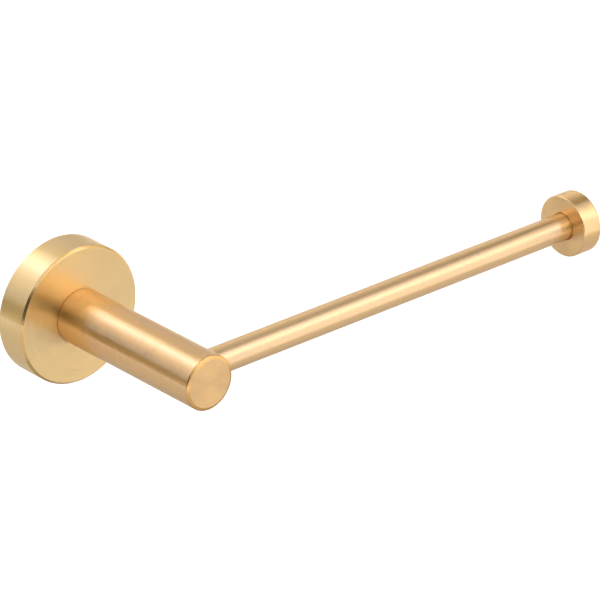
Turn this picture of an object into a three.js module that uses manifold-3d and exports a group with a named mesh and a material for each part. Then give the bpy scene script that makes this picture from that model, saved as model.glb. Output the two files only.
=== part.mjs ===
// Wall-mounted toilet roll holder with one open-ended arm.
//
// A hollow round rose slips over a bracket disc that is screwed to the wall, and one grub screw
// under the rose bites into the bracket's grooved rim. A thick round post stands out of the rose,
// and a thinner round bar leaves the side of the post, parallel to the wall, and ends in a disc
// that stops the roll. The roll is passed over the disc and hangs on the bar.
//
// Frame: millimetres, +Z up, the wall is the plane y = 0 with the room on the -Y side.
// The origin is the centre of the rose on the wall. The post runs along -Y, the bar along +X.

import * as THREE from 'three';
import { mergeVertices } from 'three/addons/utils/BufferGeometryUtils.js';
import Module from 'manifold-3d';

const wasm = await Module();
wasm.setup();

// ---------------------------------------------------------------- driving dimensions

// rose: the hollow round cover on the wall
const roseDiameter = 50.8;
const roseDepth = 12.7;
const roseWall = 3.0;
const roseWeb = 4.0;
const roseFrontChamfer = 0.8;
const roseBackChamfer = 0.3;
const roseMouthChamfer = 0.5;
const roseCornerFillet = 1.0;

// bracket: the disc that is screwed to the wall inside the rose
const bracketPlay = 0.2;
const bracketFrontGap = 1.2;
const bracketEdgeChamfer = 0.4;
const grooveDepth = 1.6;
const grooveFloorWidth = 1.2;
const wallSlotWidth = 4.6;
const wallSlotLength = 12.0;
const headRecessWidth = 8.6;
const headRecessDepth = 2.0;

// grub screw under the rose
const grubDiameter = 4.0;
const grubTipDiameter = 1.0;
const grubTipGap = 0.3;
const grubRecess = 0.5;
const grubSocketWidth = 2.0;
const grubSocketDepth = 1.6;

// post: the thick round bar that stands out of the rose
const postDiameter = 20.0;
const postLength = 69.0;
const postEndFillet = 1.4;
const postBaseChamfer = 0.25;

// screw, lock washer and dowel that hold the post to the rose
const postScrewDiameter = 6.0;
const postScrewLength = 16.0;
const postScrewHeadDiameter = 10.0;
const postScrewHeadHeight = 4.0;
const postScrewHeadChamfer = 0.5;
const postScrewSocketWidth = 4.0;
const postScrewSocketDepth = 2.2;
const postScrewHolePlay = 0.3;
const postTapRunout = 2.6;
const headHolePlay = 2.0;
const washerDiameter = 11.8;
const washerThickness = 1.6;
const washerSplitWidth = 0.9;
const washerSplitSlant = THREE.MathUtils.degToRad(25);
const dowelDiameter = 3.0;
const dowelInPost = 4.2;
const dowelInRose = 3.6;
const dowelRadialPlace = 6.6;
const dowelChamfer = 0.4;

// bar: the round rod that carries the roll
const barDiameter = 10.0;
const barReach = 175.0;
const barSetback = 11.4;
const barEndChamfer = 0.4;
const barSeatDepth = 5.0;
const barSeatPlay = 0.15;

// threaded stud between the post and the bar
const barStudDiameter = 6.0;
const barStudLength = 20.0;
const barStudInPost = 8.0;

// end disc that stops the roll, and its stud
const discDiameter = 22.8;
const discThickness = 8.5;
const discInnerFillet = 0.5;
const discOuterFillet = 1.2;
const discRecessPlay = 0.5;
const discRecessDepth = 4.0;
const discStudDiameter = 5.0;
const discStudLength = 13.0;
const discStudInDisc = 2.6;

// fits shared by all pieces
const threadPlay = 0.1;
const seatGap = 0.1;
const tapExtra = 0.6;
const threadChamfer = 0.5;
const cutOverrun = 1.0;

// number of flats that stand for a circle
const fineSides = 96;
const mediumSides = 60;
const screwSides = 48;
const coarseSides = 24;
const hexSides = 6;
const filletSteps = 3;
const smallFilletSteps = 2;
const slotCurveSteps = 6;

// ---------------------------------------------------------------- sizes worked out from them

const roseRadius = roseDiameter / 2;
const cavityRadius = roseRadius - roseWall;
const cavityDepth = roseDepth - roseWeb;
const bracketRadius = cavityRadius - bracketPlay;
const bracketDepth = cavityDepth - bracketFrontGap;
const grooveFloorRadius = bracketRadius - grooveDepth;
const grooveY = -bracketDepth / 2;
const bracketHoleRadius = postScrewHeadDiameter / 2 + headHolePlay;
const wallSlotHeight = (bracketHoleRadius + grooveFloorRadius) / 2;
const postRadius = postDiameter / 2;
const postEndY = -(roseDepth + postLength);
const barY = postEndY + barSetback;
const barRadius = barDiameter / 2;
const barSeatX = postRadius - barSeatDepth;
const barEndX = barReach + discRecessDepth;
const discRadius = discDiameter / 2;
const recessRadius = barRadius + discRecessPlay;

// ---------------------------------------------------------------- shaping helpers

// Joins the vertices that lie together and drops the triangles that close up at an axis.
function welded(geometry) {
  geometry.deleteAttribute('normal');
  geometry.deleteAttribute('uv');
  const merged = mergeVertices(geometry);
  const corners = Array.from(merged.index.array);
  const kept = [];
  for (let i = 0; i < corners.length; i += 3) {
    const [a, b, c] = corners.slice(i, i + 3);
    if (a !== b && b !== c && c !== a) kept.push(a, b, c);
  }
  merged.setIndex(kept);
  return merged;
}

function solidFrom(geometry) {
  const closed = welded(geometry);
  const vertProperties = new Float32Array(closed.attributes.position.array);
  const triVerts = new Uint32Array(closed.index.array);
  return new wasm.Manifold(new wasm.Mesh({ numProp: 3, vertProperties, triVerts }));
}

function geometryFrom(solid) {
  const mesh = solid.getMesh();
  const geometry = new THREE.BufferGeometry();
  geometry.setAttribute('position', new THREE.BufferAttribute(mesh.vertProperties, mesh.numProp));
  geometry.setIndex(new THREE.BufferAttribute(mesh.triVerts, 1));
  return geometry;
}

function cut(geometry, ...tools) {
  const body = solidFrom(geometry);
  return geometryFrom(tools.reduce((rest, tool) => rest.subtract(solidFrom(tool)), body));
}

// Turns a profile of [radius, distance along Y] points round the Y axis, as on a lathe.
function turned(profile, sides) {
  return new THREE.LatheGeometry(profile.map(([r, y]) => new THREE.Vector2(r, y)), sides);
}

// The points of a quarter round from one angle to another, about a centre in the profile.
function quarter(radius, centreR, centreY, from, to, steps = filletSteps) {
  const curve = new THREE.EllipseCurve(centreR, centreY, radius, radius, from, to, to < from);
  return curve.getPoints(steps).map((point) => [point.x, point.y]);
}

// A plain rod along Y from one end to the other, with a chamfer on both ends.
function rod(radius, start, end, chamfer, sides) {
  return turned([
    [0, start],
    [radius - chamfer, start],
    [radius, start + chamfer],
    [radius, end - chamfer],
    [radius - chamfer, end],
    [0, end],
  ], sides);
}

// A straight-sided cutter or socket along Y.
function plug(radius, start, end, sides) {
  return turned([[0, start], [radius, start], [radius, end], [0, end]], sides);
}

// A hexagon socket cutter along Y, given its width across flats.
function hexSocket(width, start, end) {
  return plug(width / 2 / Math.cos(Math.PI / hexSides), start, end, hexSides);
}

// Turns work made along Y so that it runs along +X, at the bar's place.
function onBarAxis(geometry) {
  return geometry.rotateZ(-Math.PI / 2).translate(0, barY, 0);
}

// Turns work made along Y so that +Y points down, at the grub screw's place.
function onGrubAxis(geometry) {
  return geometry.rotateX(-Math.PI / 2).translate(0, grooveY, 0);
}

// A round-ended slot cutter, level, at a height on the bracket, from one depth to another.
function slot(length, width, height, depthFrom, depthTo) {
  const half = width / 2;
  const endX = length / 2 - half;
  const shape = new THREE.Shape();
  shape.absarc(endX, height, half, -Math.PI / 2, Math.PI / 2, false);
  shape.absarc(-endX, height, half, Math.PI / 2, Math.PI * 1.5, false);
  const options = { depth: depthTo - depthFrom, bevelEnabled: false, curveSegments: slotCurveSteps };
  return new THREE.ExtrudeGeometry(shape, options).translate(0, 0, depthFrom).rotateX(Math.PI / 2);
}

// ---------------------------------------------------------------- finishes

const brushedGold = { color: 0xdcb478, roughness: 0.32, metalness: 1.0 };
const zincPlate = { color: 0xb9bcbd, roughness: 0.45, metalness: 1.0 };
const stainless = { color: 0xa9abad, roughness: 0.3, metalness: 1.0 };
const springSteel = { color: 0x6f7174, roughness: 0.5, metalness: 1.0 };

const group = new THREE.Group();

function add(name, geometry, finish) {
  const mesh = new THREE.Mesh(geometry, new THREE.MeshStandardMaterial(finish));
  mesh.name = name;
  group.add(mesh);
}

// ---------------------------------------------------------------- wall bracket

// A disc with a V groove round its rim for the grub screw, a hole that clears the head of the post
// screw, and two level slots, recessed in front, for the wall screws.
function wallBracket() {
  const halfFloor = grooveFloorWidth / 2;
  const disc = turned([
    [bracketHoleRadius, -bracketDepth],
    [bracketRadius - bracketEdgeChamfer, -bracketDepth],
    [bracketRadius, -bracketDepth + bracketEdgeChamfer],
    [bracketRadius, grooveY - halfFloor - grooveDepth],
    [grooveFloorRadius, grooveY - halfFloor],
    [grooveFloorRadius, grooveY + halfFloor],
    [bracketRadius, grooveY + halfFloor + grooveDepth],
    [bracketRadius, 0],
    [bracketHoleRadius, 0],
    [bracketHoleRadius, -bracketDepth],
  ], mediumSides);
  const recessLength = wallSlotLength + headRecessWidth - wallSlotWidth;
  const recessFloor = bracketDepth - headRecessDepth;
  const front = bracketDepth + cutOverrun;
  const slots = [wallSlotHeight, -wallSlotHeight].flatMap((height) => [
    slot(wallSlotLength, wallSlotWidth, height, -cutOverrun, front),
    slot(recessLength, headRecessWidth, height, recessFloor, front),
  ]);
  return cut(disc, ...slots);
}

// ---------------------------------------------------------------- rose

// A round cup with its mouth on the wall. Its web carries the post, and its rim the grub screw.
function rose() {
  const webY = -cavityDepth;
  const boltHoleRadius = postScrewDiameter / 2 + postScrewHolePlay;
  const cup = turned([
    [boltHoleRadius, -roseDepth],
    [roseRadius - roseFrontChamfer, -roseDepth],
    [roseRadius, -roseDepth + roseFrontChamfer],
    [roseRadius, -roseBackChamfer],
    [roseRadius - roseBackChamfer, 0],
    [cavityRadius + roseMouthChamfer, 0],
    [cavityRadius, -roseMouthChamfer],
    ...quarter(
      roseCornerFillet, cavityRadius - roseCornerFillet, webY + roseCornerFillet, 0, -Math.PI / 2,
      smallFilletSteps,
    ),
    [boltHoleRadius, webY],
    [boltHoleRadius, -roseDepth],
  ], fineSides);
  const grubHole = plug(
    grubDiameter / 2 + threadPlay, cavityRadius - cutOverrun, roseRadius + cutOverrun, coarseSides,
  );
  return cut(cup, onGrubAxis(grubHole), dowelHole(-roseDepth - cutOverrun, webY + cutOverrun));
}

function dowelHole(start, end) {
  return plug(dowelDiameter / 2 + threadPlay, start, end, coarseSides).translate(0, 0, dowelRadialPlace);
}

// ---------------------------------------------------------------- grub screw

// A cone-point grub screw, flush-driven from below with a hexagon key.
function grubScrew() {
  const tip = grooveFloorRadius + grubTipGap;
  const back = roseRadius - grubRecess;
  const radius = grubDiameter / 2;
  const tipRadius = grubTipDiameter / 2;
  const body = turned([
    [0, tip],
    [tipRadius, tip],
    [radius, tip + radius - tipRadius],
    [radius, back - threadChamfer],
    [radius - threadChamfer, back],
    [0, back],
  ], coarseSides);
  return onGrubAxis(cut(body, hexSocket(grubSocketWidth, back - grubSocketDepth, back + cutOverrun)));
}

// ---------------------------------------------------------------- post

// A solid round bar with a softened free end, tapped at its foot for the screw inside the rose.
// Its side is bored flat-bottomed where the roll bar is let in, with a smaller hole for the stud.
function post() {
  const footY = -roseDepth - seatGap;
  const tapRadius = postScrewDiameter / 2 + threadPlay;
  const tapEndY = -cavityDepth + washerThickness - postScrewLength - postTapRunout;
  const body = turned([
    [0, postEndY],
    ...quarter(
      postEndFillet, postRadius - postEndFillet, postEndY + postEndFillet, -Math.PI / 2, 0,
    ),
    [postRadius, footY - postBaseChamfer],
    [postRadius - postBaseChamfer, footY],
    [tapRadius, footY],
    [tapRadius, tapEndY],
    [0, tapEndY],
  ], mediumSides);
  const seat = plug(barRadius + barSeatPlay, barSeatX, postRadius + cutOverrun, mediumSides);
  const studHole = plug(
    barStudDiameter / 2 + threadPlay, barSeatX - barStudInPost - tapExtra, postRadius, coarseSides,
  );
  return cut(
    body, onBarAxis(seat), onBarAxis(studHole), dowelHole(-roseDepth - dowelInPost - tapExtra, 0),
  );
}

// A low-head socket screw. Its head stands in the bracket's hole, clear of the wall.
function postScrew() {
  const headFrontY = -cavityDepth + washerThickness + seatGap;
  const headBackY = headFrontY + postScrewHeadHeight;
  const shankEndY = headFrontY - postScrewLength;
  const radius = postScrewDiameter / 2;
  const headRadius = postScrewHeadDiameter / 2;
  const body = turned([
    [0, shankEndY],
    [radius - threadChamfer, shankEndY],
    [radius, shankEndY + threadChamfer],
    [radius, headFrontY],
    [headRadius, headFrontY],
    [headRadius, headBackY - postScrewHeadChamfer],
    [headRadius - postScrewHeadChamfer, headBackY],
    [0, headBackY],
  ], screwSides);
  const socketFloorY = headBackY - postScrewSocketDepth;
  return cut(body, hexSocket(postScrewSocketWidth, socketFloorY, headBackY + cutOverrun));
}

// A split spring washer, pressed flat between the screw head and the web of the rose.
function lockWasher() {
  const innerRadius = postScrewDiameter / 2 + postScrewHolePlay;
  const outerRadius = washerDiameter / 2;
  const frontY = -cavityDepth + seatGap / 2;
  const backY = frontY + washerThickness;
  const ring = turned([
    [innerRadius, frontY],
    [outerRadius, frontY],
    [outerRadius, backY],
    [innerRadius, backY],
    [innerRadius, frontY],
  ], screwSides);
  const splitHeight = washerThickness + 2 * cutOverrun;
  const split = new THREE.BoxGeometry(washerSplitWidth, splitHeight, washerDiameter);
  split.rotateZ(washerSplitSlant).translate(0, (frontY + backY) / 2, outerRadius);
  return cut(ring, split);
}

// A dowel beside the screw, which stops the post turning in the rose.
function postDowel() {
  const endInPost = -roseDepth - dowelInPost;
  const endInRose = -roseDepth + dowelInRose;
  const pin = rod(dowelDiameter / 2, endInPost, endInRose, dowelChamfer, coarseSides);
  return pin.translate(0, 0, dowelRadialPlace);
}

// ---------------------------------------------------------------- bar

// A round rod, tapped at both ends for the studs.
function rollBar() {
  const startX = barSeatX + seatGap;
  const endX = barEndX - seatGap;
  const postTap = barStudDiameter / 2 + threadPlay;
  const postTapEnd = barSeatX + barStudLength - barStudInPost + tapExtra;
  const discTap = discStudDiameter / 2 + threadPlay;
  const discTapEnd = barEndX - (discStudLength - discStudInDisc) - tapExtra;
  return onBarAxis(turned([
    [0, postTapEnd],
    [postTap, postTapEnd],
    [postTap, startX],
    [barRadius - barEndChamfer, startX],
    [barRadius, startX + barEndChamfer],
    [barRadius, endX - barEndChamfer],
    [barRadius - barEndChamfer, endX],
    [discTap, endX],
    [discTap, discTapEnd],
    [0, discTapEnd],
  ], mediumSides));
}

function barStud() {
  const startX = barSeatX - barStudInPost;
  return onBarAxis(
    rod(barStudDiameter / 2, startX, startX + barStudLength, threadChamfer, coarseSides),
  );
}

// ---------------------------------------------------------------- end disc

// A thick disc with softened edges. The bar is let into a recess a little wider than itself, so a
// dark ring shows round it, and the disc is tapped behind the recess for its stud.
function endDisc() {
  const faceX = barReach;
  const outerX = barReach + discThickness;
  const tapRadius = discStudDiameter / 2 + threadPlay;
  const tapEndX = barEndX + discStudInDisc + tapExtra;
  const innerFlat = discRadius - discInnerFillet;
  const outerFlat = discRadius - discOuterFillet;
  return onBarAxis(turned([
    [0, tapEndX],
    [tapRadius, tapEndX],
    [tapRadius, barEndX],
    [recessRadius, barEndX],
    [recessRadius, faceX],
    ...quarter(discInnerFillet, innerFlat, faceX + discInnerFillet, -Math.PI / 2, 0, smallFilletSteps),
    ...quarter(discOuterFillet, outerFlat, outerX - discOuterFillet, 0, Math.PI / 2),
    [0, outerX],
  ], mediumSides));
}

function discStud() {
  const endX = barEndX + discStudInDisc;
  return onBarAxis(
    rod(discStudDiameter / 2, endX - discStudLength, endX, threadChamfer, coarseSides),
  );
}

// ---------------------------------------------------------------- assembly

add('wall_bracket', wallBracket(), zincPlate);
add('rose', rose(), brushedGold);
add('grub_screw', grubScrew(), stainless);
add('post', post(), brushedGold);
add('post_screw', postScrew(), zincPlate);
add('lock_washer', lockWasher(), springSteel);
add('post_dowel', postDowel(), stainless);
add('roll_bar', rollBar(), brushedGold);
add('bar_stud', barStud(), zincPlate);
add('end_disc', endDisc(), brushedGold);
add('disc_stud', discStud(), zincPlate);

export default group;
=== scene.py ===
# %% [markdown]
# # A wall-mounted toilet roll holder in brushed gold
#
# Four turned pieces make what is seen: a round rose on the wall, a thick post that stands out of
# it, a thinner bar that carries the roll, and a disc at the bar's free end. Behind and inside them
# are a wall bracket, a grub screw, a screw with its lock washer, a dowel and two studs.
#
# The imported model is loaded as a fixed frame. Its solids are many-sided, which is right for
# measuring and for motion but shows as flats on polished metal. Smooth shading alone would hide
# the flats inside but not in the outline. So each piece is modelled again here at the same size,
# with true fillets and chamfers, and stands in for its solid.

# %% Load the frame and start from a clean selection
import math

import bmesh
import bpy
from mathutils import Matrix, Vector


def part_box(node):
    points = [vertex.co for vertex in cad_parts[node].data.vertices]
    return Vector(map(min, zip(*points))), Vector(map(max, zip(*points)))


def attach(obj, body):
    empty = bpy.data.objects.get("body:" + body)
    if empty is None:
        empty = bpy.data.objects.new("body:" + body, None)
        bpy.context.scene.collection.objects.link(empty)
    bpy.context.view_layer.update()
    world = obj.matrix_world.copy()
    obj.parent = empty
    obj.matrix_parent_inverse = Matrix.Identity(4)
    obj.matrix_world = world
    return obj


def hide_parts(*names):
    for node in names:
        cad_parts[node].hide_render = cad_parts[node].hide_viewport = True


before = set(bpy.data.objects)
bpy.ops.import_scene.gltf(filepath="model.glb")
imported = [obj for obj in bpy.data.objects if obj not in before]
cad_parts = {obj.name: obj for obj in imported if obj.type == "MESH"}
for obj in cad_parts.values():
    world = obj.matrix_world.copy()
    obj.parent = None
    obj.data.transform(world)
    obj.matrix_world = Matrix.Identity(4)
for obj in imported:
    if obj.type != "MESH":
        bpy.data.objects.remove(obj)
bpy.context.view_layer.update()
bpy.ops.object.select_all(action="DESELECT")

# %% [markdown]
# The camera comes first, so that every later step can be looked at from the right place. It stands
# far off with a long lens, which keeps the round faces nearly undistorted. It looks from the left
# and from above, without leaning, at a point beside the post. It could be aimed by hand, but with
# angles in numbers the view is the same each time. They are the camera's turn about the upright
# and its height angle. The two lengths are how far the picture's centre lies from the rose.

# %% Camera
MM = 0.001

TURN = math.radians(-41.347)
RISE = math.radians(25.886)
DISTANCE = 1635.6 * MM
LENS_MM = 284.02
AIM_RIGHT = 84.01 * MM
AIM_UP = 1.158 * MM


def way(turn, rise):
    """The direction that is turned from the holder's front and raised, in radians."""
    level = math.cos(rise)
    return Vector((math.sin(turn) * level, -math.cos(turn) * level, math.sin(rise)))


back = way(TURN, RISE)
right = Vector((math.cos(TURN), math.sin(TURN), 0))
up = back.cross(right)

bpy.ops.object.camera_add(location=back * DISTANCE + right * AIM_RIGHT + up * AIM_UP)
camera = bpy.context.object
camera.name = "camera"
camera.rotation_mode = "QUATERNION"
camera.rotation_quaternion = (-back).to_track_quat("-Z", "Y")
camera.data.lens = LENS_MM
camera.data.sensor_width = 36
camera.data.clip_end = 50
bpy.context.scene.camera = camera
print("camera at", [round(x, 3) for x in camera.location])

# %% [markdown]
# Every piece is round, so most work is lathe work: a cylinder on an axis, edges softened, ends
# bored. Sizes come from the frame's own boxes. Edges could be picked by their index, but that
# changes with every cut. So a small class holds an axis line, and tells how far along it and how
# far out from it a point lies. Edges and faces are then picked by those two numbers, the way a
# turner would name them.

# %% Axis lines
class Axis:
    """A line along X, Y or Z through a point, for pieces that are turned about it."""

    def __init__(self, letter, through=(0, 0, 0)):
        self.index = "XYZ".index(letter)
        self.through = Vector(through)
        self.turn = {"X": (0, math.pi / 2, 0), "Y": (-math.pi / 2, 0, 0), "Z": (0, 0, 0)}[letter]

    def along(self, point):
        return point[self.index]

    def out(self, point):
        offset = Vector(point) - self.through
        offset[self.index] = 0
        return offset.length

    def point(self, place):
        spot = self.through.copy()
        spot[self.index] = place
        return spot

    def step(self, length):
        move = Vector((0, 0, 0))
        move[self.index] = length
        return move


rose_low, rose_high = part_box("rose")
post_low, post_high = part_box("post")
bar_low, bar_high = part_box("roll_bar")
disc_low, disc_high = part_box("end_disc")

bar_y = (bar_low.y + bar_high.y) / 2
post_line = Axis("Y")
bar_line = Axis("X", (0, bar_y, 0))
grub_low, grub_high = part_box("grub_screw")
grub_line = Axis("Z", (0, (grub_low.y + grub_high.y) / 2, 0))
print("bar axis at y =", round(bar_y / MM, 2), "mm")

# %% [markdown]
# A turned piece could be one outline, spun round its axis. Here it is a cylinder that is shaped in
# steps, as on a real lathe, because each edge then has a width of its own and can be changed
# without drawing the outline again. First come the helpers that select, and the one that adds the
# bar stock.

# %% Stock and selection
NEAR = 0.02 * MM
WELD = 0.001 * MM
SIDES = 192
SMALL_SIDES = 96


def only(piece):
    """Selects one piece and nothing else."""
    bpy.ops.object.select_all(action="DESELECT")
    piece.select_set(True)
    bpy.context.view_layer.objects.active = piece


def edit(piece):
    only(piece)
    bpy.ops.object.mode_set(mode="EDIT")


def leave():
    bpy.ops.object.mode_set(mode="OBJECT")


def cylinder(name, axis, radius, start, end, sides=SIDES):
    """A cylinder on an axis, with its place in its mesh."""
    bpy.ops.mesh.primitive_cylinder_add(
        vertices=sides, radius=radius, depth=abs(end - start),
        location=axis.point((start + end) / 2), rotation=axis.turn,
    )
    piece = bpy.context.object
    piece.name = name
    bpy.ops.object.transform_apply(location=True, rotation=True, scale=True)
    return piece


def pick(piece, kind, test):
    """In edit mode, selects just the edges or faces whose corners all pass a test."""
    bpy.ops.mesh.select_mode(type=kind)
    bpy.ops.mesh.select_all(action="DESELECT")
    mesh = bmesh.from_edit_mesh(piece.data)
    parts = mesh.edges if kind == "EDGE" else mesh.faces
    for part in parts:
        part.select_set(all(test(corner.co) for corner in part.verts))
    bmesh.update_edit_mesh(piece.data)


def on_ring(axis, place, radius):
    """A test for corners that lie on one ring round an axis."""
    return lambda co: abs(axis.along(co) - place) < NEAR and abs(axis.out(co) - radius) < NEAR


print("stock has", SIDES, "sides, small stock", SMALL_SIDES)

# %% [markdown]
# Then come the cuts. `soften` chamfers one ring of edges or rolls it to a fillet, and `bore` sinks
# a flat-bottomed hole into an end face. A Boolean could make that hole too, but inset and extrude
# leave clean rings of faces that can be softened next. `cut_with` is the Boolean, for all that
# can't be sunk into an end face in this way, such as a hole from the side.

# %% Softening, boring and cutting
def soften(piece, axis, place, radius, width, segments):
    """Bevels one ring of edges: 1 segment is a chamfer, more make a fillet."""
    edit(piece)
    pick(piece, "EDGE", on_ring(axis, place, radius))
    bpy.ops.mesh.bevel(offset=width, segments=segments, profile=0.5, affect="EDGES")
    leave()


def bore(piece, axis, place, outer, radius, depth):
    """Sinks a flat-bottomed hole into the end face at a place. Depth is signed along the axis."""
    edit(piece)
    pick(
        piece, "FACE",
        lambda co: abs(axis.along(co) - place) < NEAR and axis.out(co) < outer + NEAR,
    )
    bpy.ops.mesh.inset(thickness=outer - radius, depth=0)
    bpy.ops.mesh.extrude_region_move(TRANSFORM_OT_translate={"value": axis.step(depth)})
    leave()


def cut_with(piece, *cutters, operation="DIFFERENCE"):
    """Takes each cutter out of a piece, and removes the cutter."""
    for cutter in cutters:
        only(piece)
        modifier = piece.modifiers.new("cut", "BOOLEAN")
        modifier.operation = operation
        modifier.solver = "EXACT"
        modifier.object = cutter
        bpy.ops.object.modifier_apply(modifier=modifier.name)
        bpy.data.objects.remove(cutter)


print("lathe ready")

# %% [markdown]
# A polished edge catches light only if its shading is smooth over the fillet and flat on the face.
# Flat shading would show each strip of a fillet, and plain smooth shading would make the faces
# look dented. Shading smooth by angle joins the strips, and a Weighted Normal modifier then lets
# the large flat faces keep their own direction. Every finished piece goes through this step.

# %% Finish a mesh
SMOOTH_ANGLE = math.radians(35)


def finished(piece, body, slot, *nodes):
    """Cleans and shades the mesh, hangs it on its body's empty, and hides the solids it stands
    for.
    """
    edit(piece)
    bpy.ops.mesh.select_all(action="SELECT")
    bpy.ops.mesh.remove_doubles(threshold=WELD)
    bpy.ops.mesh.normals_make_consistent(inside=False)
    leave()
    only(piece)
    bpy.ops.object.shade_smooth_by_angle(angle=SMOOTH_ANGLE)
    modifier = piece.modifiers.new("flat faces stay flat", "WEIGHTED_NORMAL")
    modifier.keep_sharp = True
    modifier.weight = 100
    bpy.ops.object.modifier_apply(modifier=modifier.name)
    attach(piece, body)
    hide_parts(*nodes)
    print(piece.name, len(piece.data.polygons), "faces")
    return piece


print("edges over", round(math.degrees(SMOOTH_ANGLE)), "degrees stay sharp")

# %% [markdown]
# The rose is the round cover on the wall, a shallow cup. Its front edge has a crisp chamfer with
# its two corners just broken, and its rear edge a tiny one. A disc with a Solidify modifier would
# give a cup too, but one wall all over. Here the cup is bored from behind, which leaves a thin rim
# and a thick web that carries the post, with a small radius where they meet. Three holes go
# through it: for the screw that holds the post, for the dowel beside it, and from below for the
# grub screw.

# %% Rose
rose_radius = rose_high.x
rose_front = rose_low.y
rose_wall = 3.0 * MM
rose_web = 4.0 * MM
front_chamfer = 0.8 * MM
back_chamfer = 0.3 * MM
broken_corner = 0.1 * MM
mouth_fillet = 0.5 * MM
cavity_fillet = 1.0 * MM
cavity_radius = rose_radius - rose_wall
cavity_floor = rose_front + rose_web

rose = cylinder("rose_cover", post_line, rose_radius, rose_front, 0)
soften(rose, post_line, rose_front, rose_radius, front_chamfer, 1)
soften(rose, post_line, rose_front + front_chamfer, rose_radius, broken_corner, 2)
soften(rose, post_line, rose_front, rose_radius - front_chamfer, broken_corner, 2)
bore(rose, post_line, 0, rose_radius, cavity_radius, cavity_floor)
soften(rose, post_line, 0, rose_radius, back_chamfer, 2)
soften(rose, post_line, 0, cavity_radius, mouth_fillet, 2)
soften(rose, post_line, cavity_floor, cavity_radius, cavity_fillet, 6)

screw_play = 0.3 * MM
screw_radius = 3.0 * MM
dowel_low, dowel_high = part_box("post_dowel")
dowel_line = Axis("Y", (0, 0, (dowel_low.z + dowel_high.z) / 2))
dowel_radius = (dowel_high.x - dowel_low.x) / 2
thread_play = 0.1 * MM
grub_radius = (grub_high.x - grub_low.x) / 2
past = 1.0 * MM
HOLE_SIDES = 64


def hole(axis, radius, start, end, sides=HOLE_SIDES):
    """A round cutter, for a hole. `past` is how far a cutter stands out of what it cuts."""
    return cylinder("cutter", axis, radius, start, end, sides)


cut_with(
    rose,
    hole(post_line, screw_radius + screw_play, rose_front - past, cavity_floor + past),
    hole(dowel_line, dowel_radius + thread_play, rose_front - past, cavity_floor + past),
    hole(grub_line, grub_radius + thread_play, -rose_radius - past, -cavity_radius + past),
)
finished(rose, "holder", "brushed_gold", "rose")

# %% [markdown]
# The post is solid bar. Its free end is a flat, turned face inside a narrow ring that falls away
# at a shallow angle. A bevel would set the ring's width and its fall together, so it is made with
# inset, which takes each by itself. The foot has a fine chamfer, which draws the thin line where
# the post meets the rose. It is tapped at the foot, and its side is bored flat where the bar is
# let in.

# %% Post
post_radius = post_high.x
post_end = post_low.y
post_foot = post_high.y
end_ring = 1.3 * MM
end_drop = 0.45 * MM
end_corner = 0.3 * MM
foot_chamfer = 0.25 * MM
tap_runout = 2.6 * MM
bore_extra = 0.6 * MM
screw_low, screw_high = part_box("post_screw")
bar_radius = (bar_high.z - bar_low.z) / 2
bar_start = bar_low.x
seat_play = 0.15 * MM
stud_low, stud_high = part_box("bar_stud")
stud_radius = (stud_high.z - stud_low.z) / 2

post = cylinder("post_rod", post_line, post_radius, post_end + end_drop, post_foot)
edit(post)
pick(post, "FACE", lambda co: co.y < post_end + end_drop + NEAR)
bpy.ops.mesh.inset(thickness=end_ring, depth=end_drop)
leave()
soften(post, post_line, post_end + end_drop, post_radius, end_corner, 3)
soften(post, post_line, post_end, post_radius - end_ring, broken_corner, 2)
soften(post, post_line, post_foot, post_radius, foot_chamfer, 2)
cut_with(
    post,
    hole(post_line, screw_radius + thread_play, screw_low.y - tap_runout, post_foot + past),
    hole(dowel_line, dowel_radius + thread_play, dowel_low.y - bore_extra, post_foot + past),
    hole(bar_line, bar_radius + seat_play, bar_start - thread_play, post_radius + past, SIDES),
    hole(bar_line, stud_radius + thread_play, stud_low.x - bore_extra, post_radius),
)
finished(post, "holder", "brushed_gold", "post")

# %% [markdown]
# The bar carries the roll. It is plain round rod with chamfered ends, which sits in the post's
# flat-bottomed seat at one end and in the disc's recess at the other. A closed rod would look the
# same from outside. It is bored at both ends all the same, so that the studs have room in it when
# the holder is taken apart.

# %% Bar
bar_chamfer = 0.4 * MM
disc_stud_low, disc_stud_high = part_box("disc_stud")
disc_stud_radius = (disc_stud_high.z - disc_stud_low.z) / 2

bar = cylinder("bar_rod", bar_line, bar_radius, bar_start, bar_high.x)
bore(
    bar, bar_line, bar_start, bar_radius, stud_radius + thread_play,
    stud_high.x + bore_extra - bar_start,
)
bore(
    bar, bar_line, bar_high.x, bar_radius, disc_stud_radius + thread_play,
    disc_stud_low.x - bore_extra - bar_high.x,
)
soften(bar, bar_line, bar_start, bar_radius, bar_chamfer, 3)
soften(bar, bar_line, bar_high.x, bar_radius, bar_chamfer, 3)
finished(bar, "holder", "brushed_gold", "roll_bar")

# %% [markdown]
# The end disc stops the roll. Its outer edge is rounder than its inner one. The thin dark line
# round the bar could be painted on, but it is a real gap: the inner face has a recess only just
# wider than the bar, so the line is dark from every side.

# %% End disc
disc_radius = (disc_high.z - disc_low.z) / 2
disc_face = disc_low.x
disc_outer = disc_high.x
disc_inner_fillet = 0.5 * MM
disc_outer_fillet = 1.2 * MM
recess_gap = 0.15 * MM
recess_edge = 0.15 * MM
recess_radius = bar_radius + recess_gap
recess_depth = 4.0 * MM

disc = cylinder("end_disc_turned", bar_line, disc_radius, disc_face, disc_outer)
bore(disc, bar_line, disc_face, disc_radius, recess_radius, recess_depth)
bore(
    disc, bar_line, disc_face + recess_depth, recess_radius, disc_stud_radius + thread_play,
    disc_stud_high.x + bore_extra - disc_face - recess_depth,
)
soften(disc, bar_line, disc_face, disc_radius, disc_inner_fillet, 5)
soften(disc, bar_line, disc_outer, disc_radius, disc_outer_fillet, 8)
soften(disc, bar_line, disc_face, recess_radius, recess_edge, 2)
finished(disc, "holder", "brushed_gold", "end_disc")

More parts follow.
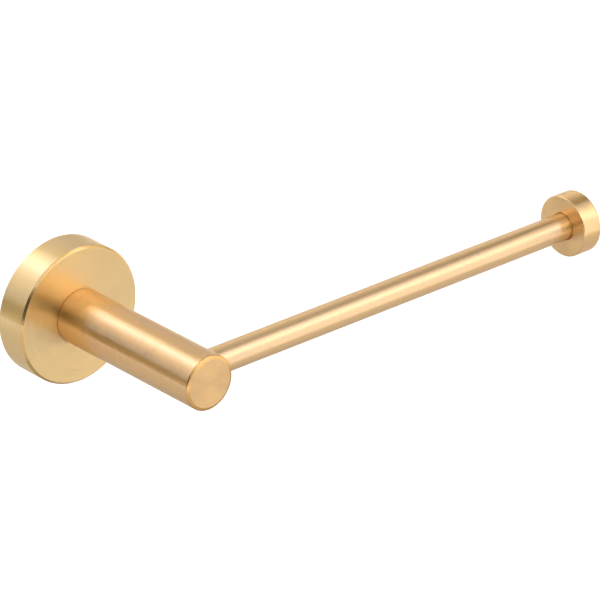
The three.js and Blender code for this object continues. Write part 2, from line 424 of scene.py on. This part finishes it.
# %% [markdown]
# The hidden pieces are modelled too, because they show from behind and when the holder is taken
# apart. The wall bracket has a V groove round its rim and two slots, which need three helpers.
# The groove could be cut with a ring and a Boolean. Slicing the rim into bands and drawing two of
# their edges in gives the same groove with even faces. A slot is a box whose corner edges are
# bevelled by half its width, just short of it, so that no edge shrinks to nothing.

# %% Slicing, drawing in and slots
SLICE_NEAR = NEAR / 100
SLOT_STEPS = 12


def slice_across(piece, axis, places):
    """Cuts rings of edges round a piece, straight across its axis."""
    for place in places:
        edit(piece)
        bpy.ops.mesh.select_all(action="SELECT")
        bpy.ops.mesh.bisect(
            plane_co=axis.point(place), plane_no=axis.step(1), threshold=SLICE_NEAR,
        )
        leave()


def draw_in(piece, axis, place, radius, new_radius):
    """Scales one ring of edges towards the axis."""
    edit(piece)
    pick(piece, "EDGE", on_ring(axis, place, radius))
    share = new_radius / radius
    scale = [share] * 3
    scale[axis.index] = 1
    bpy.ops.transform.resize(value=scale, center_override=axis.point(place))
    leave()


def slot_cutter(height, width, length, start, end):
    """A round-ended slot: a box with its four corner edges rounded to half its width."""
    middle = (start + end) / 2
    bpy.ops.mesh.primitive_cube_add(size=1, location=(0, middle, height))
    cutter = bpy.context.object
    cutter.scale = (length, abs(end - start), width)
    bpy.ops.object.transform_apply(location=True, rotation=True, scale=True)
    edit(cutter)
    bpy.ops.mesh.select_mode(type="EDGE")
    bpy.ops.mesh.select_all(action="DESELECT")
    mesh = bmesh.from_edit_mesh(cutter.data)
    for edge in mesh.edges:
        first, second = (corner.co for corner in edge.verts)
        edge.select_set(abs(first.y - second.y) > NEAR)
    bmesh.update_edit_mesh(cutter.data)
    bpy.ops.mesh.bevel(
        offset=width / 2 - NEAR / 4, segments=SLOT_STEPS, profile=0.5, affect="EDGES",
    )
    leave()
    return cutter


print("bracket helpers ready")

# %% [markdown]
# The bracket is a die-cast disc that is screwed to the wall, and the rose slips over it. The grub
# screw bites in the groove round its rim. Two level slots let it be set straight on the wall, each
# with a wider recess in front for the screw's head. The slots could be modelled into the disc's
# faces, but a Boolean keeps the disc's rings simple, and nobody sees the cut's extra edges.

# %% Wall bracket
bracket_low, bracket_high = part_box("wall_bracket")
bracket_radius = bracket_high.x
bracket_front = bracket_low.y
groove_middle = grub_line.through.y
groove_depth = 1.6 * MM
groove_floor = 1.2 * MM
bracket_hole = 7.0 * MM
slot_height = 13.8 * MM
slot_width = 4.6 * MM
slot_length = 12.0 * MM
recess_width = 8.6 * MM
head_recess_depth = 2.0 * MM
bracket_chamfer = 0.4 * MM

bracket = cylinder("bracket_disc", post_line, bracket_radius, bracket_front, 0, SMALL_SIDES)
flank_start = groove_floor / 2 + groove_depth
floor_edges = (groove_middle - groove_floor / 2, groove_middle + groove_floor / 2)
rim_edges = (groove_middle - flank_start, groove_middle + flank_start)
slice_across(bracket, post_line, floor_edges + rim_edges)
for place in floor_edges:
    draw_in(bracket, post_line, place, bracket_radius, bracket_radius - groove_depth)
soften(bracket, post_line, bracket_front, bracket_radius, bracket_chamfer, 3)
cut_from = bracket_front - past
recess_length = slot_length + recess_width - slot_width
recess_floor = bracket_front + head_recess_depth
cutters = [hole(post_line, bracket_hole, cut_from, past, SMALL_SIDES)]
for height in (slot_height, -slot_height):
    cutters.append(slot_cutter(height, slot_width, slot_length, cut_from, past))
    cutters.append(slot_cutter(height, recess_width, recess_length, cut_from, recess_floor))
cut_with(bracket, *cutters)
finished(bracket, "holder", "zinc_casting", "wall_bracket")

# %% [markdown]
# Screws get real threads. A thread could be a bump pattern, but then its edge would be straight
# where the real one has teeth. One turn of it is a short zigzag line: root, flank, crest, flank.
# That line is drawn by pulling a single point along, step by step.

# %% Line of a thread
def zigzag(name, start, moves):
    """A chain of edges: one corner of a plane is kept, and pulled along by each move."""
    bpy.ops.mesh.primitive_plane_add(size=MM, location=start)
    line = bpy.context.object
    line.name = name
    bpy.ops.object.transform_apply(location=True, rotation=True, scale=True)
    edit(line)
    bpy.ops.mesh.select_mode(type="VERT")
    bpy.ops.mesh.select_all(action="SELECT")
    bpy.ops.mesh.merge(type="CENTER")
    for move in moves:
        bpy.ops.mesh.extrude_vertices_move(TRANSFORM_OT_translate={"value": move})
    leave()
    return line


print("thread line ready")

# %% [markdown]
# A Screw modifier winds the line round the axis and moves it up one pitch each turn, and the turns
# join. The winding starts more than a turn early, at a share of the pitch where no corner lies on
# a cut. Bisect cuts the ends off flat and fills them, so the thread is a closed solid. Sizes of
# the thread's shape are shares of its pitch.

# %% Winding a thread
THREAD_DEPTH = 0.6
CREST = 0.15
FLANK = 0.35
THREAD_START = 1.507
THREAD_STEPS = 48


def thread(axis, radius, pitch, start, end):
    """A closed threaded rod on an axis, between two places."""
    height = THREAD_DEPTH * pitch
    low, high = min(start, end), max(start, end)
    turns = math.ceil((high - low) / pitch) + 3
    outwards = Vector((0, 0, 1)) if axis.index != 2 else Vector((1, 0, 0))
    rise = axis.step(pitch)
    first = axis.point(low - THREAD_START * pitch) + outwards * (radius - height)
    line = zigzag("thread_line", first, [
        rise * CREST,
        rise * FLANK + outwards * height,
        rise * CREST,
        rise * FLANK - outwards * height,
    ])
    only(line)
    bpy.context.scene.cursor.location = axis.through
    bpy.ops.object.origin_set(type="ORIGIN_CURSOR")
    winding = line.modifiers.new("winding", "SCREW")
    winding.axis = "XYZ"[axis.index]
    winding.steps = winding.render_steps = THREAD_STEPS
    winding.iterations = turns
    winding.screw_offset = pitch
    winding.use_merge_vertices = True
    winding.merge_threshold = WELD
    bpy.ops.object.modifier_apply(modifier=winding.name)
    bpy.ops.object.transform_apply(location=True, rotation=True, scale=True)
    for place, side in ((low, -1), (high, 1)):
        edit(line)
        bpy.ops.mesh.select_all(action="SELECT")
        bpy.ops.mesh.bisect(
            plane_co=axis.point(place), plane_no=axis.step(side),
            use_fill=True, clear_outer=True, threshold=SLICE_NEAR,
        )
        leave()
    edit(line)
    bpy.ops.mesh.select_all(action="SELECT")
    bpy.ops.mesh.remove_doubles(threshold=WELD)
    bpy.ops.mesh.normals_make_consistent(inside=False)
    leave()
    return line


print("a thread has", THREAD_STEPS, "steps to a turn")

# %% [markdown]
# A real screw is turned first and threaded last, so that its ends stay as they were turned. Here
# too the blank keeps its chamfers: it is intersected with the threaded rod. The rod is a hair
# thinner than the blank, because a Boolean is unsure where two faces lie in one place. The pitches
# are those of ordinary metric screws.

# %% Threaded blanks and hexagon sockets
def threaded(blank, axis, radius, pitch, start, end):
    """Keeps of a blank what lies inside the threaded rod. Its crests stay clear of the side."""
    cut_with(blank, thread(axis, radius - NEAR, pitch, start, end), operation="INTERSECT")


def hexagon(axis, width, start, end):
    """A cutter for a hexagon socket, from its width across the flats."""
    return cylinder("cutter", axis, width / 2 / math.cos(math.pi / 6), start, end, 6)


thread_chamfer = 0.5 * MM
m6_pitch = 1.0 * MM
m5_pitch = 0.8 * MM
m4_pitch = 0.7 * MM
print("thread tools ready")

# %% [markdown]
# The studs join the bar to the post and to the disc. They are plain lengths of threaded rod with
# chamfered ends. The two could be one mesh, copied and stretched, but that would stretch the
# thread as well, so each is turned at its own size.

# %% Studs
def stud(name, low, high, radius, pitch, node):
    made = cylinder(name, bar_line, radius, low.x, high.x, SMALL_SIDES)
    soften(made, bar_line, low.x, radius, thread_chamfer, 1)
    soften(made, bar_line, high.x, radius, thread_chamfer, 1)
    threaded(made, bar_line, radius, pitch, low.x - past, high.x + past)
    return finished(made, "holder", "plated_screw", node)


post_stud = stud("threaded_stud_post", stud_low, stud_high, stud_radius, m6_pitch, "bar_stud")
disc_stud = stud(
    "threaded_stud_disc", disc_stud_low, disc_stud_high, disc_stud_radius, m5_pitch, "disc_stud",
)

# %% [markdown]
# The grub screw has a cone point that wedges in the bracket's groove, and a small hexagon socket
# in its other end. The point could be a second primitive, joined on, but one wide chamfer of the
# blank makes it in the same piece. The screw rides on its own body, because it is the one piece
# that moves.

# %% Grub screw
grub_tip = grub_high.z
grub_back = grub_low.z
grub_tip_radius = 0.5 * MM
grub_key = 2.0 * MM
grub_key_depth = 1.6 * MM
cone = grub_radius - grub_tip_radius
grub = cylinder("cone_point_screw", grub_line, grub_radius, grub_back, grub_tip, SMALL_SIDES)
soften(grub, grub_line, grub_tip, grub_radius, cone, 1)
soften(grub, grub_line, grub_back, grub_radius, thread_chamfer, 1)
threaded(grub, grub_line, grub_radius, m4_pitch, grub_back - past, grub_tip + past)
cut_with(grub, hexagon(grub_line, grub_key, grub_back - past, grub_back + grub_key_depth))
finished(grub, "grub", "stainless_screw", "grub_screw")

# %% [markdown]
# The post screw is a low-head socket screw. Its shank is threaded in the same way, while its head
# is left plain, so the two are made apart and joined with a Boolean union. The head's rim has a
# fine straight knurl, as such heads do: a ring of shallow grooves. They could be cut one by one,
# but drawing in every second row of the rim's corners makes all of them at once.

# %% Post screw
head_radius = screw_high.x
head_back = screw_high.y
head_height = 4.0 * MM
head_front = head_back - head_height
head_fillet = 0.5 * MM
plain_front = 0.5 * MM
plain_back = 1.0 * MM
screw_key = 4.0 * MM
screw_key_depth = 2.2 * MM
shank_end = screw_low.y
shank_in_head = 0.8 * MM
knurl_depth = 0.12 * MM
knurls = 48

shank = cylinder("shank", post_line, screw_radius, shank_end, head_front + past, SMALL_SIDES)
soften(shank, post_line, shank_end, screw_radius, thread_chamfer, 1)
threaded(shank, post_line, screw_radius, m6_pitch, shank_end - past, head_front + shank_in_head)

screw = cylinder("socket_head_screw", post_line, head_radius, head_front, head_back, knurls * 2)
slice_across(screw, post_line, (head_front + plain_front, head_back - plain_back))
edit(screw)
bpy.ops.mesh.select_mode(type="VERT")
bpy.ops.mesh.select_all(action="DESELECT")
mesh = bmesh.from_edit_mesh(screw.data)
for corner in mesh.verts:
    angle = math.atan2(corner.co.z, corner.co.x) / math.tau * knurls * 2
    inside = head_front + NEAR < corner.co.y < head_back - NEAR
    corner.select_set(inside and round(angle) % 2 == 0)
bmesh.update_edit_mesh(screw.data)
shrink = 1 - knurl_depth / head_radius
bpy.ops.transform.resize(value=(shrink, 1, shrink), center_override=post_line.point(0))
leave()
soften(screw, post_line, head_back, head_radius, head_fillet, 3)
cut_with(screw, shank, operation="UNION")
cut_with(screw, hexagon(post_line, screw_key, head_back - screw_key_depth, head_back + past))
finished(screw, "holder", "plated_screw", "post_screw")

# %% [markdown]
# The lock washer is a split ring of square spring wire, pressed nearly flat by the screw's head.
# It could be a short piece of a helix, but pressed flat it is a plain ring again. So a cylinder is
# bored through and its edges are rolled, and a turned box takes out the slanted split.

# %% Lock washer
washer_low, washer_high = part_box("lock_washer")
washer_radius = washer_high.x
washer_hole = screw_radius + screw_play
split_width = 0.9 * MM
split_slant = math.radians(25)
washer_edge = 0.15 * MM
washer_from, washer_to = washer_low.y - past, washer_high.y + past
WASHER_SIDES = 128

washer = cylinder(
    "split_washer", post_line, washer_radius, washer_low.y, washer_high.y, WASHER_SIDES,
)
cut_with(washer, hole(post_line, washer_hole, washer_from, washer_to, WASHER_SIDES))
for place in (washer_low.y, washer_high.y):
    soften(washer, post_line, place, washer_radius, washer_edge, 3)
    soften(washer, post_line, place, washer_hole, washer_edge, 3)
washer_middle = (washer_low.y + washer_high.y) / 2
bpy.ops.mesh.primitive_cube_add(
    size=1, location=(0, washer_middle, washer_radius), rotation=(0, 0, split_slant),
)
split = bpy.context.object
split.scale = (split_width, washer_to - washer_from, 2 * washer_radius)
bpy.ops.object.transform_apply(location=True, rotation=True, scale=True)
cut_with(washer, split)
finished(washer, "holder", "spring_steel", "lock_washer")

# %% [markdown]
# The dowel keeps the post from turning in the rose. It is a ground pin, so it stays a bare
# cylinder, apart from the rounded chamfers that let it be driven in.

# %% Dowel
dowel_chamfer = 0.4 * MM
dowel = cylinder("dowel_pin", dowel_line, dowel_radius, dowel_low.y, dowel_high.y, SMALL_SIDES)
soften(dowel, dowel_line, dowel_low.y, dowel_radius, dowel_chamfer, 2)
soften(dowel, dowel_line, dowel_high.y, dowel_radius, dowel_chamfer, 2)
finished(dowel, "holder", "stainless_screw", "post_dowel")

# %% [markdown]
# Finishes are node materials. They could be wired up by hand, or node by node in code, but both
# are slow to read. So a small class wraps a socket, and plain Python maths on it adds the Math
# nodes.

# %% Writing shader maths as expressions
class Wire:
    """An output socket that can be added, multiplied and so on."""

    def __init__(self, sheet, socket):
        self.sheet = sheet
        self.socket = socket

    def maths(self, operation, *values):
        inputs = dict(enumerate(values))
        return self.sheet.node("ShaderNodeMath", inputs, operation=operation)[0]

    def __add__(self, other):
        return self.maths("ADD", self, other)

    def __radd__(self, other):
        return self.maths("ADD", other, self)

    def __sub__(self, other):
        return self.maths("SUBTRACT", self, other)

    def __rsub__(self, other):
        return self.maths("SUBTRACT", other, self)

    def __mul__(self, other):
        return self.maths("MULTIPLY", self, other)

    def __rmul__(self, other):
        return self.maths("MULTIPLY", other, self)

    def __truediv__(self, other):
        return self.maths("DIVIDE", self, other)

    def __pow__(self, other):
        return self.maths("POWER", self, other)


print("shader maths ready")

# %% [markdown]
# A second class is the sheet of nodes of one material. Its `node` method adds any other node: its
# settings first, because they decide which sockets there are, and then what its sockets hold.

# %% Sheets of nodes
class Sheet:
    """The nodes of one material."""

    def __init__(self, name):
        self.material = bpy.data.materials.new(name)
        self.material.use_nodes = True
        self.tree = self.material.node_tree
        self.tree.nodes.clear()

    def node(self, kind, sockets, **settings):
        """Adds a node, and gives its outputs as wires."""
        made = self.tree.nodes.new(kind)
        stops = settings.pop("stops", None)
        for setting, value in settings.items():
            setattr(made, setting, value)
        if stops:
            ramp = made.color_ramp
            while len(ramp.elements) < len(stops):
                ramp.elements.new(1)
            for element, (place, colour) in zip(ramp.elements, stops):
                element.position = place
                element.color = colour
        for socket, value in sockets.items():
            if isinstance(value, Wire):
                self.tree.links.new(value.socket, made.inputs[socket])
            else:
                made.inputs[socket].default_value = value
        return [Wire(self, out) for out in made.outputs if out.enabled]

    def surface(self, wire):
        """Ends the sheet with a shader, and gives the material."""
        self.node("ShaderNodeOutputMaterial", {"Surface": wire})
        return self.material


print("node sheets ready")

# %% [markdown]
# The gold is a brushed finish. The pieces were turned against an abrasive belt, so its fine lines
# run round each piece's axis, on the sides and on the end faces. That is why a highlight on such
# metal spreads across the lines, and why a turned face shows bright fans that meet at its centre.
#
# The shader's own anisotropy could draw the highlight out, but it would need one direction field
# for sides, faces and fillets. Lines in relief need none: they are noise that changes fast along
# the radius and the axis, and slowly round the axis. Going round is a circle, so its cosine and
# sine are two more of the noise's four dimensions, and the pattern closes without a seam. A small
# shift keeps it off the noise's own grid, where it would lie flat.

# %% Lines round an axis
OFF_GRID = 0.37


def brush_lines(sheet, axis, per_mm, round_turn, detail):
    """Noise drawn out into lines round an axis, from 0 to 1."""
    place = sheet.node("ShaderNodeTexCoord", {})[3]
    moved = sheet.node(
        "ShaderNodeVectorMath", {0: place, 1: axis.through}, operation="SUBTRACT",
    )[0]
    x, y, z = sheet.node("ShaderNodeSeparateXYZ", {0: moved})
    along, side, other = {0: (x, y, z), 1: (y, x, z), 2: (z, x, y)}[axis.index]
    out = (side * side + other * other) ** 0.5
    safe = out.maths("MAXIMUM", out, NEAR)
    scale = per_mm / MM
    lines = sheet.node(
        "ShaderNodeCombineXYZ",
        {0: out * scale + OFF_GRID, 1: along * scale + OFF_GRID, 2: side / safe * round_turn},
    )[0]
    return sheet.node(
        "ShaderNodeTexNoise",
        {
            "Vector": lines,
            "W": other / safe * round_turn + OFF_GRID,
            "Scale": 1,
            "Detail": detail,
            "Roughness": 0.6,
        },
        noise_dimensions="4D",
    )[0]


print("brush lines ready")

# %% [markdown]
# Fine lines go through a Bump node, and coarser streaks drift between a deeper and a paler tone
# and change the roughness a little. Over the brushed metal lies a thin satin lacquer. One rougher
# metal could imitate both layers, but its highlight would be all gold, and the real one is pale.
# So the lacquer is the shader's coat. It adds a paler sheen where the metal is seen square on, and
# fades where it is seen at a flat angle, so the rims of the round bars keep their deep gold.

# %% Brushed gold
FINE_LINES = 20.0
FINE_TURN = 3.3
STREAKS = 1.8
STREAK_TURN = 0.8
STREAK_ROUGHNESS = 0.08
BUMP_FILTER = 0.02
LINE_DEPTH = 0.055
LACQUER_IOR = 2.7
LACQUER_ROUGHNESS = 0.2


def brushed_gold(name, axis, deep, pale, depth=LINE_DEPTH, roughness=0.25, lacquer=1.0):
    """Gold with fine brush lines round an axis, under a lacquer that fades at a flat angle."""
    sheet = Sheet(name)
    fine = brush_lines(sheet, axis, FINE_LINES, FINE_TURN, 0)
    streaks = brush_lines(sheet, axis, STREAKS, STREAK_TURN, 2)
    colour = sheet.node("ShaderNodeMix", {0: streaks, 6: deep, 7: pale}, data_type="RGBA")[0]
    bump = sheet.node(
        "ShaderNodeBump",
        {"Height": fine, "Strength": 1, "Distance": depth * MM, "Filter Width": BUMP_FILTER},
    )[0]
    facing = sheet.node("ShaderNodeLayerWeight", {"Blend": 0.5})[1]
    shader = sheet.node(
        "ShaderNodeBsdfPrincipled",
        {
            "Base Color": colour,
            "Metallic": 1,
            "Roughness": roughness + streaks * STREAK_ROUGHNESS,
            "Normal": bump,
            "Coat Weight": (1 - facing) * lacquer,
            "Coat Roughness": LACQUER_ROUGHNESS,
            "Coat IOR": LACQUER_IOR,
        },
    )[0]
    return sheet.surface(shader)


print("gold has", FINE_LINES, "fine lines and", STREAKS, "streaks to a millimetre")

# %% [markdown]
# Each of the four pieces has a gold of its own, a little redder or yellower. The two cut edges,
# round the rose's face and round the post's end, are left smoother from the tool and hardly
# lacquered, and their deeper gold is painted shade that darkens these narrow bands. They could be
# pieces of their own, but a second material on a few faces of the same mesh leaves no seam.

# %% Gold on the seen pieces
def dress(piece, material):
    """Gives a piece one material all over."""
    piece.data.materials.clear()
    piece.data.materials.append(material)


def dress_edge(piece, axis, end, far, inner, material):
    """Gives a second material to the faces between two places on the axis and beyond a radius."""
    piece.data.materials.append(material)
    edit(piece)
    pick(
        piece, "FACE",
        lambda co: end - NEAR < axis.along(co) < far + NEAR and axis.out(co) > inner - NEAR,
    )
    piece.active_material_index = 1
    bpy.ops.object.material_slot_assign()
    leave()


golds = {
    "rose": ((0.805, 0.52, 0.163, 1), (0.885, 0.57, 0.181, 1)),
    "post": ((0.757, 0.425, 0.12, 1), (0.835, 0.468, 0.135, 1)),
    "bar": ((0.768, 0.456, 0.157, 1), (0.847, 0.504, 0.178, 1)),
    "disc": ((0.80, 0.46, 0.13, 1), (0.885, 0.51, 0.145, 1)),
    # the two edge golds are made deeper as painted shade on the narrow cut edges
    "rose_edge_painted_shade": ((0.78, 0.475, 0.15, 1), (0.86, 0.525, 0.165, 1)),
    "post_edge_painted_shade": ((0.70, 0.38, 0.10, 1), (0.77, 0.42, 0.115, 1)),
}
for piece, axis, gold in (
    (rose, post_line, "rose"),
    (post, post_line, "post"),
    (bar, bar_line, "bar"),
    (disc, bar_line, "disc"),
):
    dress(piece, brushed_gold("brushed_gold_" + gold, axis, *golds[gold]))
# The cut edges get a deeper gold, which is painted shade, and a smoother, thinly lacquered finish.
cut_gold = {"depth": 0.03, "roughness": 0.18, "lacquer": 0.35}
dress_edge(
    rose, post_line, rose_front, rose_front + front_chamfer, rose_radius - front_chamfer,
    brushed_gold("edge_gold_painted_shade_rose", post_line, *golds["rose_edge_painted_shade"], **cut_gold),
)
dress_edge(
    post, post_line, post_end, post_end + end_drop + end_corner, post_radius - end_ring,
    brushed_gold("edge_gold_painted_shade_post", post_line, *golds["post_edge_painted_shade"], **cut_gold),
)
print("gold on", [piece.name for piece in (rose, post, bar, disc)])

# %% [markdown]
# The hidden metals are plainer, so one function serves all of them, with clouds of colour and
# roughness and a fine grain in relief. A flat colour would do from far off, but not when the
# pieces are laid out on a bench.

# %% Plain metals
def plain_metal(name, dark, pale, roughness, spread, cloud_mm, grain_mm, grain_depth):
    """Metal whose colour and roughness drift in clouds, with a fine grain in relief."""
    sheet = Sheet(name)
    place = sheet.node("ShaderNodeTexCoord", {})[3]
    clouds = sheet.node(
        "ShaderNodeTexNoise",
        {"Vector": place, "Scale": 1 / (cloud_mm * MM), "Detail": 3, "Roughness": 0.6},
    )[0]
    grain = sheet.node(
        "ShaderNodeTexNoise", {"Vector": place, "Scale": 1 / (grain_mm * MM), "Detail": 2},
    )[0]
    colour = sheet.node("ShaderNodeMix", {0: clouds, 6: dark, 7: pale}, data_type="RGBA")[0]
    bump = sheet.node("ShaderNodeBump", {"Height": grain, "Distance": grain_depth * MM})[0]
    shader = sheet.node(
        "ShaderNodeBsdfPrincipled",
        {
            "Base Color": colour,
            "Metallic": 1,
            "Roughness": roughness + spread * clouds,
            "Normal": bump,
        },
    )[0]
    return sheet.surface(shader)


print("plain metals ready")

# %% [markdown]
# Die-cast zinc is matt and slightly cloudy, with a fine orange-peel skin. Zinc plating on steel is
# bright with a cool tint that drifts. Stainless steel is clean and fine-grained. Spring steel is
# blued, so it is dark, with small worn spots that shine through.

# %% Metals on the hidden pieces
zinc = plain_metal(
    "zinc_casting", (0.42, 0.43, 0.44, 1), (0.52, 0.53, 0.54, 1), 0.42, 0.2, 6, 0.5, 0.02,
)
plating = plain_metal(
    "zinc_plating", (0.55, 0.60, 0.66, 1), (0.72, 0.74, 0.74, 1), 0.22, 0.2, 3, 0.3, 0.006,
)
stainless = plain_metal(
    "stainless_steel", (0.56, 0.55, 0.53, 1), (0.64, 0.63, 0.61, 1), 0.25, 0.12, 2, 0.15, 0.004,
)
spring_steel = plain_metal(
    "blued_spring_steel", (0.10, 0.11, 0.14, 1), (0.24, 0.24, 0.25, 1),
    0.35, 0.25, 1.5, 0.2, 0.006,
)
for piece, metal in (
    (bracket, zinc),
    (post_stud, plating),
    (disc_stud, plating),
    (screw, plating),
    (grub, stainless),
    (dowel, stainless),
    (washer, spring_steel),
):
    dress(piece, metal)
print("other metals on seven hidden pieces")

# %% [markdown]
# The stage is a pale floor well below the holder, and a pale world. The floor could be made white
# by more light, but that would burn the metal out. So it has a little glow of its own, which only
# the camera and mirror-like surfaces see, and it still keeps the holder's soft shadow. From below
# the floor is clear, so that the underside can be looked at.

# %% Floor and world
FLOOR_DROP = 0.35
FLOOR_SIZE = 3
FLOOR_GREY = 0.66
LIFT = 0.3
bpy.ops.mesh.primitive_plane_add(size=FLOOR_SIZE, location=(0, 0, -FLOOR_DROP))
floor = bpy.context.object
floor.name = "floor"

sheet = Sheet("pale_floor")
camera_ray, _, _, glossy_ray, _, _, transmission_ray = sheet.node("ShaderNodeLightPath", {})[:7]
back_facing = sheet.node("ShaderNodeNewGeometry", {})[6]
matt = sheet.node("ShaderNodeBsdfDiffuse", {"Color": (FLOOR_GREY, FLOOR_GREY, FLOOR_GREY, 1)})[0]
seen = camera_ray + glossy_ray + transmission_ray
lift = sheet.node("ShaderNodeEmission", {"Color": (1, 1, 1, 1), "Strength": seen * LIFT})[0]
lit = sheet.node("ShaderNodeAddShader", {0: matt, 1: lift})[0]
clear = sheet.node("ShaderNodeBsdfTransparent", {})[0]
from_above = sheet.node("ShaderNodeMixShader", {0: back_facing, 1: lit, 2: clear})[0]
dress(floor, sheet.surface(from_above))

world = bpy.data.worlds.new("pale_world")
bpy.context.scene.world = world
world.use_nodes = True
background = world.node_tree.nodes["Background"]
background.inputs["Color"].default_value = (1, 1, 1, 1)
background.inputs["Strength"].default_value = 1.0
print("floor and world are pale")

# %% [markdown]
# Brushed metal is drawn by what it mirrors. A studio sets large softboxes for the bright bands,
# and hangs dark cards where a dark band should run along a rod. A picture of a studio, wrapped
# round the scene, would do it in one step, but separate boxes and cards can each be moved until
# the band they draw is right. The camera doesn't see them, and the cards show only in the metal,
# so the floor stays even.

# %% Helpers for softboxes and cards
LAMP_AWAY = 3.0
CARD_AWAY = 1.2


def stands(turn, rise, away):
    """A place away from the holder, turned from its front and raised, and facing back to it."""
    outwards = way(math.radians(turn), math.radians(rise))
    return outwards * away, outwards.to_track_quat("Z", "Y").to_euler()


def looks(half_angle, away):
    """How wide a thing is that looks this wide from the holder."""
    return 2 * away * math.tan(math.radians(half_angle))


def softbox(name, turn, rise, half_wide, half_high, bright):
    """A soft lamp, with a power that gives it the same brightness at any size."""
    lamp = bpy.data.lights.new(name, "AREA")
    lamp.shape = "RECTANGLE"
    lamp.size, lamp.size_y = looks(half_wide, LAMP_AWAY), looks(half_high, LAMP_AWAY)
    lamp.energy = bright * math.pi * lamp.size * lamp.size_y
    place, turned = stands(turn, rise, LAMP_AWAY)
    box = bpy.data.objects.new(name, lamp)
    box.location, box.rotation_euler = place, turned
    box.visible_camera = False
    bpy.context.collection.objects.link(box)
    print(name, round(lamp.energy), "W")


def card(name, turn, rise, half_wide, half_high, grey, away=CARD_AWAY):
    """A grey plane that shows in the metal and nowhere else."""
    place, turned = stands(turn, rise, away)
    bpy.ops.mesh.primitive_plane_add(size=1, location=place, rotation=turned)
    plane = bpy.context.object
    plane.name = name
    plane.scale = (looks(half_wide, away), looks(half_high, away), 1)
    plane.visible_camera = plane.visible_diffuse = plane.visible_shadow = False
    plane.visible_transmission = False
    sheet = Sheet(name)
    matt = sheet.node("ShaderNodeBsdfDiffuse", {"Color": (grey, grey, grey, 1)})[0]
    dress(plane, sheet.surface(matt))


print("lamps stand", LAMP_AWAY, "m away and cards", CARD_AWAY, "m, if nothing else is said")

# %% [markdown]
# Each softbox and card is given by the direction in which it stands, turned and raised from the
# holder's front, then half the width and half the height that it seems to have from the holder,
# all in degrees. Next comes how bright a softbox is beside the world, or how grey a card is. The
# last number of some cards is how far away they hang.

# %% Softboxes and cards
softbox("front_softbox", 18, 40, 30, 22, 1.03)
softbox("low_front_softbox", 42, 0, 34, 14, 0.39)
softbox("back_softbox", -165, 46, 11, 10, 7.3)
softbox("left_softbox", -15, 48, 21, 14, 4.6)
card("back_card", 174, 4, 56, 50, 0.66)
card("right_card", 98, 34, 10, 29, 0.07, 1.15)
card("left_card", -50, 10, 46, 22, 0.06, 0.6)
card("horizon_card", -135, -3, 13, 11, 0.06, 1.05)
card("under_card", 0, -90, 72, 66, 0.44, 0.3)
card("front_under_card", 10, -83, 33, 35, 0.28, 0.25)
card("side_card", -100, 23, 8, 32, 0.22, 1.0)
card("top_card", 58, 79, 56, 28, 0.60, 0.9)
card("edge_card", 142, 8, 10, 13, 0.47, 1.0)
print("four softboxes and nine cards")

# %% [markdown]
# Last comes the plain view transform, because a filmic one would turn the gold pale.

# %% Look of the picture
bpy.context.scene.view_settings.view_transform = "Standard"
